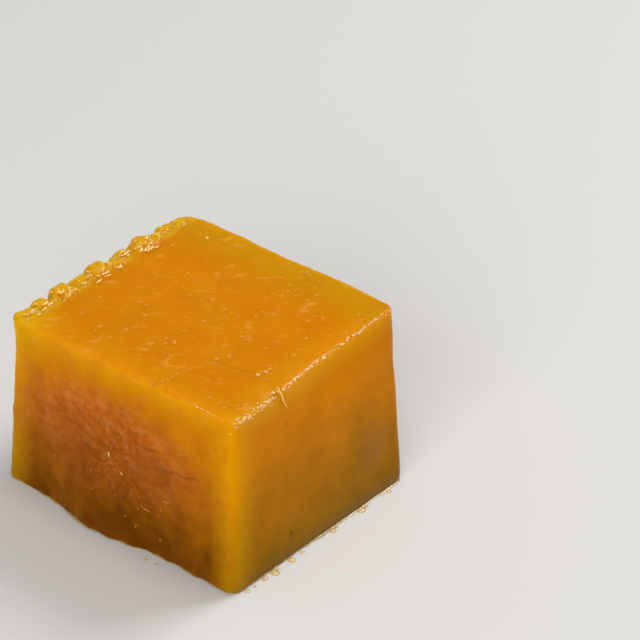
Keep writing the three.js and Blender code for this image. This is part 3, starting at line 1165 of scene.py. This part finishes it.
paint(pulp_flakes, "in_front", in_front)
pulp, tree, shader = new_material("pale_pulp")
tone = grain(tree, (1.5, 1.5, 1.5), detail=2)
color = mixed(tree, spread(tree, tone, 0.35, 0.65), PULP, LIGHT_PULP)
color = mixed(tree, painted(tree, "in_front"), color, FRONT_PULP)
tree.links.new(color, shader.inputs["Base Color"])
shader.inputs["Roughness"].default_value = 0.35
shader.inputs["Coat Weight"].default_value = 0.2
shader.inputs["Coat Roughness"].default_value = 0.15
shader.inputs["Specular IOR Level"].default_value = 0.1
pulp_flakes.data.materials.append(pulp)
print("pulp on", len(pulp_flakes.data.polygons), "faces")

# %% [markdown]
# Wet chips sit along the rims. In the right-hand rim they are small and lie close together, like a string
# of beads, and near the front corner they spread onto the top. The crags carry more of them, and long
# slivers lie where each large crag meets the top. A flat wet chip shines only when it leans the right way,
# so each one leans by a share towards the facing that shines, and chance decides the rest.

# %% Places and sizes of the wet chips
SHINE_WAY = (0.49, 0.0, 0.87)  # facing that shines in the key light
FRONT_SHINE_WAY = (0.45, -0.73, 0.51)  # facing that shines in the fill light
RIM_WAY = (-0.5, 0, -0.87)
FRONT_RIM_WAY = (0, 0.6, -0.8)
NEAR = 20  # a slanting line of sight onto a rim starts this far from it
ABOVE = 30  # and one straight down onto a rim starts this far above it
BEAD_LINE = {"step": 0.62, "from": -21.2, "to": 22.0, "small": 0.45, "large": 1.15}
FRONT_BEADS = {"number": 16, "from": 15.5, "to": 24.5}
ROUGH_CORNER = {"number": 40, "from": -20.5, "to": -8.5, "wide": 1.5}
CRAG_CHIPS = 90
LARGE_CRAGS = 8  # how many of the named crags have slivers at their foot
CHIPS_AT_CRAG_FOOT = 4
LARGE_GLINTS = [
    (8.2, 2.9), (9.5, 3.3), (10.9, 2.8), (11.2, 1.6), (-15.3, 1.8), (-16.5, 1.0), (-14.6, 2.3), (-11.4, 1.9),
]
FRONT_GLINTS = [(-2.4, 16.7), (0.8, 14.3)]
TOP_GLINTS = [(21.1, -6.0), (20.6, -7.6), (-15.4, 19.2)]

# %% Wet chips on the cut rims
draw = random.Random(31)
chips = []
for number in range(int((BEAD_LINE["to"] - BEAD_LINE["from"]) / BEAD_LINE["step"])):
    y = BEAD_LINE["from"] + (number + draw.uniform(0.1, 0.9)) * BEAD_LINE["step"]
    point = right_rim_point(y) - Vector(RIM_WAY) * NEAR + Vector((draw.gauss(0, 0.15), 0, 0))
    size = draw.uniform(BEAD_LINE["small"], BEAD_LINE["large"])
    turn = draw.uniform(0, math.pi)
    chips.append(lay_on(CRUMB, point, RIM_WAY, size, turn, draw.uniform(0.7, 1.0), SHINE_WAY))
for number in range(ROUGH_CORNER["number"]):
    y = draw.uniform(ROUGH_CORNER["from"], ROUGH_CORNER["to"])
    inset = abs(draw.gauss(0, 0.5)) * ROUGH_CORNER["wide"]
    point = right_rim_point(y) + Vector((-inset, 0, ABOVE))
    size = draw.uniform(0.45, 1.1)
    turn = draw.uniform(0, math.pi)
    kind = draw.choice([CRUMB, HOOK])
    chips.append(lay_on(kind, point, DOWN, size, turn, draw.uniform(0.5, 1.0), SHINE_WAY))
rim = top_corner("front right") / MM
for number in range(FRONT_BEADS["number"]):
    x = draw.uniform(FRONT_BEADS["from"], FRONT_BEADS["to"])
    point = Vector((x, rim.y, rim.z)) - Vector(FRONT_RIM_WAY) * NEAR
    size = draw.uniform(0.35, 0.8)
    turn = draw.gauss(0, 0.15)
    chips.append(lay_on(SLIVER, point, FRONT_RIM_WAY, size, turn, draw.uniform(0.6, 1.0), SHINE_WAY))
print(len(chips), "chips on the cut rims")

# %% [markdown]
# The crags get their chips from above. The last few are the largest glints, which have places of their own:
# on the crags, at the grain of the front face, and on the top.

# %% Wet chips on the crags, and the large glints
for number in range(CRAG_CHIPS):
    y = draw.uniform(-20.5, 19.5)
    point = (torn_rim(y)[0] + draw.triangular(-0.6, 3.4, 2.2), y, FAR)
    size = draw.uniform(0.5, 1.2)
    turn = draw.gauss(math.pi / 2, 0.6)
    kind = draw.choice([CRUMB, HOOK])
    chips.append(lay_on(kind, point, DOWN, size, turn, draw.uniform(0.2, 0.9), SHINE_WAY))
for crag in CRAGS[:LARGE_CRAGS]:
    for number in range(CHIPS_AT_CRAG_FOOT):
        y = crag["y"] + draw.uniform(-0.7, 0.7) * crag["long"]
        inset = crag["inset"] + crag["wide"] * draw.uniform(0.75, 1.0)
        point = (torn_rim(y)[0] + inset, y, FAR)
        turn = math.pi / 2 + draw.gauss(0, 0.3)
        size = draw.uniform(0.9, 1.5)
        lean = draw.uniform(0.7, 1.0)
        chips.append(lay_on(SLIVER, point, DOWN, size, turn, lean, SHINE_WAY, stretch=1.5, sunk=0.015))
for y, inset in LARGE_GLINTS:
    point = (torn_rim(y)[0] + inset, y, FAR)
    turn = math.pi / 2 + draw.gauss(0, 0.4)
    lean = draw.uniform(0.8, 1.0)
    chips.append(lay_on(CRUMB, point, DOWN, 1.5, turn, lean, SHINE_WAY, stretch=1.6, sunk=0.05))
for x, z in FRONT_GLINTS:
    turn = draw.gauss(2.3, 0.2)
    chips.append(lay_on(SLIVER, (x, -FAR, z), INTO_FRONT, 0.9, turn, 0.8, FRONT_SHINE_WAY))
for x, y in TOP_GLINTS:
    chips.append(lay_on(CRUMB, (x, y, FAR), DOWN, 1.5, 0.6, 0.9, SHINE_WAY, stretch=1.4, sunk=0.08))
wet_chips = join_up(chips, KINDS, "wet_chips")

# %% [markdown]
# The chips are the palest paste of all, with a full clear coat. Those of the right-hand rim are painted less
# yellow than those of the crags, so that their glints look pink: a painted tint of the highlight.

# %% Finish of the wet chips
CHIP = (0.76, 0.37, 0.004, 1)
PALE_CHIP = (0.82, 0.45, 0.07, 1)
PINK_GLINT_CHIP = (0.77, 0.385, 0.09, 1)


def at_right_rim(place, facing):
    """1 for the chips of the right-hand rim, and 0 for the others."""
    return ease_in(19.5, 20.5, place[:, 0]) * (place[:, 1] > -20.8)


paint(wet_chips, "at_right_rim", at_right_rim)
wet_paste, tree, shader = new_material("wet_torn_paste")
tone = grain(tree, (1.2, 1.2, 1.2), detail=3)
color = mixed(tree, spread(tree, tone, 0.35, 0.65), CHIP, PALE_CHIP)
color = mixed(tree, painted(tree, "at_right_rim"), color, PINK_GLINT_CHIP)
tree.links.new(color, shader.inputs["Base Color"])
shader.inputs["Roughness"].default_value = 0.25
shader.inputs["Coat Weight"].default_value = 1.0
shader.inputs["Coat Roughness"].default_value = 0.10
shader.inputs["Coat IOR"].default_value = 1.6
shader.inputs["Specular IOR Level"].default_value = 0.1
wet_chips.data.materials.append(wet_paste)
print("wet paste on", len(wet_chips.data.polygons), "faces")

# %% [markdown]
# At the nick one thin shred of paste was pulled out and fell over the edge. It is drawn as a potter pulls a
# thread: a small ring of corners is extruded, moved on and made a little thinner, again and again.

# %% The shred at the nick
# each step is in millimetres: outwards, along the rim, and up or down
SHRED_STEPS = [
    (0.25, 0.0, 0.25), (0.40, 0.05, -0.10), (0.22, 0.10, -0.50), (0.08, 0.15, -0.85),
    (0.03, 0.25, -0.95), (0.02, 0.40, -0.85), (0.03, 0.45, -0.60),
]
SHRED_RADIUS = 0.42
SHRED_TAPER = 0.86
SHRED_ROOT = Vector((-0.6, 0.0, -0.1))

root = (right_rim_point(NICK["y"] + 1.3) + SHRED_ROOT) * MM
bpy.ops.object.select_all(action="DESELECT")
bpy.ops.mesh.primitive_circle_add(vertices=8, radius=SHRED_RADIUS * MM, fill_type="NGON", location=root)
shred = bpy.context.object
shred.name = "torn_shred"
bpy.ops.object.transform_apply(location=True, rotation=True, scale=True)
edit(shred)
bpy.ops.mesh.select_all(action="SELECT")
at = root.copy()
for step in SHRED_STEPS:
    at += Vector(step) * MM
    bpy.ops.mesh.extrude_region_move(TRANSFORM_OT_translate={"value": Vector(step) * MM})
    bpy.ops.transform.resize(value=(SHRED_TAPER, SHRED_TAPER, SHRED_TAPER), center_override=at)
bpy.ops.mesh.select_all(action="SELECT")
bpy.ops.mesh.normals_make_consistent(inside=False)
bpy.ops.object.mode_set(mode="OBJECT")
soften = shred.modifiers.new("soften", "SUBSURF")
soften.levels = 2
soften.render_levels = 2
apply_all(shred)
bpy.ops.object.shade_smooth()
shred.data.materials.append(wet_paste)
print("shred:", len(shred.data.polygons), "faces,", [round(side / MM, 2) for side in shred.dimensions], "mm")

# %% [markdown]
# Thin syrup weeps out of the foot and stands round it as a low wet seam, widest along the right-hand face.
# Its inner line is the block's own outline, cut out of a copy with Bisect, so it fits every wave. The line
# is thinned, pressed flat and moved in under the wall, and then extruded up, out and down to the ground.

# %% The ring of the syrup seam
SEAM_CUT = 0.4  # height at which the block's outline is taken
SEAM_THIN = 0.7  # corners of the outline nearer than this are merged
SEAM_ROOT = -0.8  # how far in the ring starts, hidden in the block
SEAM_STEPS = [(-0.8, 0.22), (-0.2, 0.18), (0.0, 0.12), (0.10, 0.0)]  # out and up, in millimetres
HALF_BOX = (28.4, 24.95)  # half the width and half the depth of the block

alone(block)
bpy.ops.object.duplicate()
seam = bpy.context.object
seam.name = "syrup_seam"
seam.data.materials.clear()
edit(seam)
bpy.ops.mesh.select_all(action="SELECT")
bpy.ops.mesh.bisect(plane_co=(0, 0, SEAM_CUT * MM), plane_no=(0, 0, 1), clear_inner=True, clear_outer=True)
bpy.ops.mesh.select_all(action="SELECT")
bpy.ops.mesh.remove_doubles(threshold=SEAM_THIN * MM)
bpy.ops.transform.resize(value=(1, 1, 0), center_override=(0, 0, 0))


def widen(out):
    """Scales the picked loop so that its sides move out by that many millimetres."""
    scale = (1 + out / HALF_BOX[0], 1 + out / HALF_BOX[1], 1)
    bpy.ops.transform.resize(value=scale, center_override=(0, 0, 0))


widen(SEAM_ROOT)
reached = SEAM_ROOT
level = 0.0
for out, up in SEAM_STEPS:
    bpy.ops.mesh.extrude_edges_move(TRANSFORM_OT_translate={"value": (0, 0, (up - level) * MM)})
    widen(out - reached)
    reached = out
    level = up

pick(seam, "EDGE", lambda edge: all(corner.co.z < 0.001 * MM for corner in edge.verts))
bpy.ops.mesh.bridge_edge_loops()
bpy.ops.mesh.select_all(action="SELECT")
bpy.ops.mesh.normals_make_consistent(inside=False)
bpy.ops.object.mode_set(mode="OBJECT")
seam.vertex_groups.clear()
print("seam:", len(seam.data.polygons), "faces in a closed ring")

# %% [markdown]
# A film of syrup has no even edge. Its outer lip is pushed through cloud noise, most along the right-hand
# face, and less along the front.

# %% The uneven lip of the seam
SEAM_UNEVEN = {"right": 0.55, "front": 0.33, "length": 3.2}
SEAM_WIDER_RIGHT = 0.2
WALL = (27.9, 23.9)  # the lip lies further out than this, in x or in y


def outer(place):
    """1 at the outer lip of the seam and 0 in the wall."""
    beyond = np.maximum(np.abs(place[:, 0]) / WALL[0], np.abs(place[:, 1]) / WALL[1]) > 1
    return ease_in(0.45, 0.0, place[:, 2]) * beyond


def outer_right(place, facing):
    return outer(place) * ease_in(26.5, 27.5, place[:, 0])


def outer_front(place, facing):
    return outer(place) * (place[:, 1] < -22)


right_lip = mask(seam, "right", outer_right)
front_lip = mask(seam, "front", outer_front)
push(seam, right_lip, SEAM_WIDER_RIGHT, way="X")
push(seam, right_lip, 2 * SEAM_UNEVEN["right"], cloud(SEAM_UNEVEN["length"]), way="X")
push(seam, front_lip, 2 * SEAM_UNEVEN["front"], cloud(SEAM_UNEVEN["length"]), way="Y")
bpy.ops.object.shade_smooth()
print("seam:", [round(side / MM, 2) for side in seam.dimensions], "mm")

# %% [markdown]
# A few drops of the syrup stand beside the seam. One drop is a low cap: a sphere cut level above its middle
# and pressed flatter. Bisect snaps corners that are close to its plane, so on so small a piece it is given a
# smaller threshold.

# %% Drops of syrup
DROPS = [
    (28.2, -20.3, 1.2), (28.4, -18.4, 0.8), (28.3, -15.7, 1.3), (28.5, -13.3, 1.8), (28.5, -12.2, 1.0),
    (28.5, -8.6, 1.7), (28.5, -5.7, 0.9), (28.6, 2.6, 1.5), (28.6, 3.7, 0.9), (28.7, 10.7, 1.8),
    (28.7, 12.0, 1.0), (28.9, 18.4, 1.2), (8.4, -25.3, 0.9), (10.7, -25.1, 0.7),
]  # x, y and size
DROP_CUT = 0.2  # level of the cut, above the middle of the sphere
DROP_LOW = 0.7
SNAP = 0.001

bpy.ops.object.select_all(action="DESELECT")
bpy.ops.mesh.primitive_uv_sphere_add(segments=20, ring_count=16, radius=0.5 * MM, location=(0, 0, 0))
drop = bpy.context.object
edit(drop)
bpy.ops.mesh.select_all(action="SELECT")
bpy.ops.mesh.bisect(
    plane_co=(0, 0, DROP_CUT * MM), plane_no=(0, 0, 1), clear_inner=True, use_fill=True, threshold=SNAP * MM,
)
bpy.ops.mesh.select_all(action="SELECT")
bpy.ops.transform.translate(value=(0, 0, -DROP_CUT * MM))
bpy.ops.transform.resize(value=(1, 1, DROP_LOW), center_override=(0, 0, 0))
bpy.ops.object.mode_set(mode="OBJECT")
bpy.ops.object.shade_smooth()

draw = random.Random(7)
copies = []
for x, y, size in DROPS:
    copy = drop.copy()
    copy.data = drop.data.copy()
    bpy.context.collection.objects.link(copy)
    spin = Matrix.Rotation(draw.uniform(0, math.pi), 4, "Z")
    scale = Matrix.Diagonal((size * draw.uniform(1.0, 1.5), size, size, 1))
    copy.matrix_world = Matrix.Translation(Vector((x, y, 0)) * MM) @ spin @ scale
    copies.append(copy)
drops = join_up(copies, [drop], "syrup_drops")

# %% [markdown]
# The syrup is a clear amber film. Glass would darken such thin curls, so the ground is let through with
# Alpha instead, and a strong clear coat gives the wet glint.

# %% Finish of the syrup
AMBER = (0.95, 0.66, 0.24, 1)
syrup, tree, shader = new_material("thin_syrup")
shader.inputs["Base Color"].default_value = AMBER
shader.inputs["Roughness"].default_value = 0.1
shader.inputs["Coat Weight"].default_value = 1.0
shader.inputs["Coat Roughness"].default_value = 0.03
shader.inputs["Coat IOR"].default_value = 1.8
shader.inputs["Alpha"].default_value = 0.4
seam.data.materials.append(syrup)
drops.data.materials.append(syrup)
print("syrup on", len(drops.data.polygons) + len(seam.data.polygons), "faces")

# %% [markdown]
# The block stands on a plain pale floor, wide enough to fill the camera's view. The floor lies a hair below
# the foot, so that the two flat faces don't flicker where they touch.

# %% Floor
FLOOR = {"wide": 3.0, "below": 0.01}  # metres and millimetres
PALE_FLOOR = (0.66, 0.655, 0.64, 1)
bpy.ops.object.select_all(action="DESELECT")
bpy.ops.mesh.primitive_plane_add(size=FLOOR["wide"], location=(0, 0, -FLOOR["below"] * MM))
floor = bpy.context.object
floor.name = "floor"
floor_paint, tree, shader = new_material("pale_floor")
shader.inputs["Base Color"].default_value = PALE_FLOOR
shader.inputs["Roughness"].default_value = 0.75
shader.inputs["Specular IOR Level"].default_value = 0.2
floor.data.materials.append(floor_paint)
print("floor:", FLOOR["wide"], "m wide")

# %% [markdown]
# The light is that of a soft room. The key stands behind the block and makes the rims and crags glitter, a
# smaller lamp overhead lights the top, and a wide fill lights the front and the right-hand face.

# %% Light
ROOM = {"color": (1.0, 0.98, 0.96, 1), "strength": 0.3}
LIT = Vector((0, 0, 18)) * MM

world = bpy.data.worlds.new("soft_room")
bpy.context.scene.world = world
world.use_nodes = True
sky = world.node_tree.nodes["Background"]
sky.inputs["Color"].default_value = ROOM["color"]
sky.inputs["Strength"].default_value = ROOM["strength"]


def softbox(name, way, distance, width, power):
    """A square lamp that shines at the block from a given direction."""
    way = Vector(way).normalized()
    turn = way.to_track_quat("Z", "Y").to_euler()
    bpy.ops.object.light_add(type="AREA", location=LIT + way * distance, rotation=turn)
    lamp = bpy.context.object
    lamp.name = name
    lamp.data.size = width
    lamp.data.energy = power
    print(name, "lamp:", width, "m wide,", power, "W")


softbox("key", (0.2, 0.636, 0.745), 0.9, 0.34, 4.0)
softbox("overhead", (0.1, 0.1, 1.0), 0.9, 0.3, 1.7)
softbox("fill", (0.35, -0.8, 0.45), 1.2, 0.9, 10)

# %% [markdown]
# A long lens looks at the block from a little above and from the right, and shows it
# with little perspective. The camera stands at a distance along a line from the point that it aims at.

# %% Camera
AIM = Vector((-17.47, 53.73, 0)) * MM
AZIMUTH = math.radians(40.137)
ELEVATION = math.radians(33.754)
DISTANCE = 572.76 * MM
back = Vector((
    math.cos(ELEVATION) * math.sin(AZIMUTH),
    -math.cos(ELEVATION) * math.cos(AZIMUTH),
    math.sin(ELEVATION),
))
bpy.ops.object.camera_add(location=AIM + back * DISTANCE, rotation=back.to_track_quat("Z", "Y").to_euler())
camera = bpy.context.object
camera.data.lens = 160
camera.data.sensor_width = 36
camera.data.clip_start = 0.01
bpy.context.scene.camera = camera
bpy.context.scene.view_settings.view_transform = "Standard"
print("camera:", camera.data.lens, "mm lens,", round(DISTANCE / MM), "mm away")

# %% [markdown]
# Every piece rides on the one body, root. The modelled block stands for the frame's plain one, which is
# hidden.

# %% Riding
for piece in (block, pulp_flakes, wet_chips, shred, seam, drops):
    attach(piece, "root")
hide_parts("paste_block")
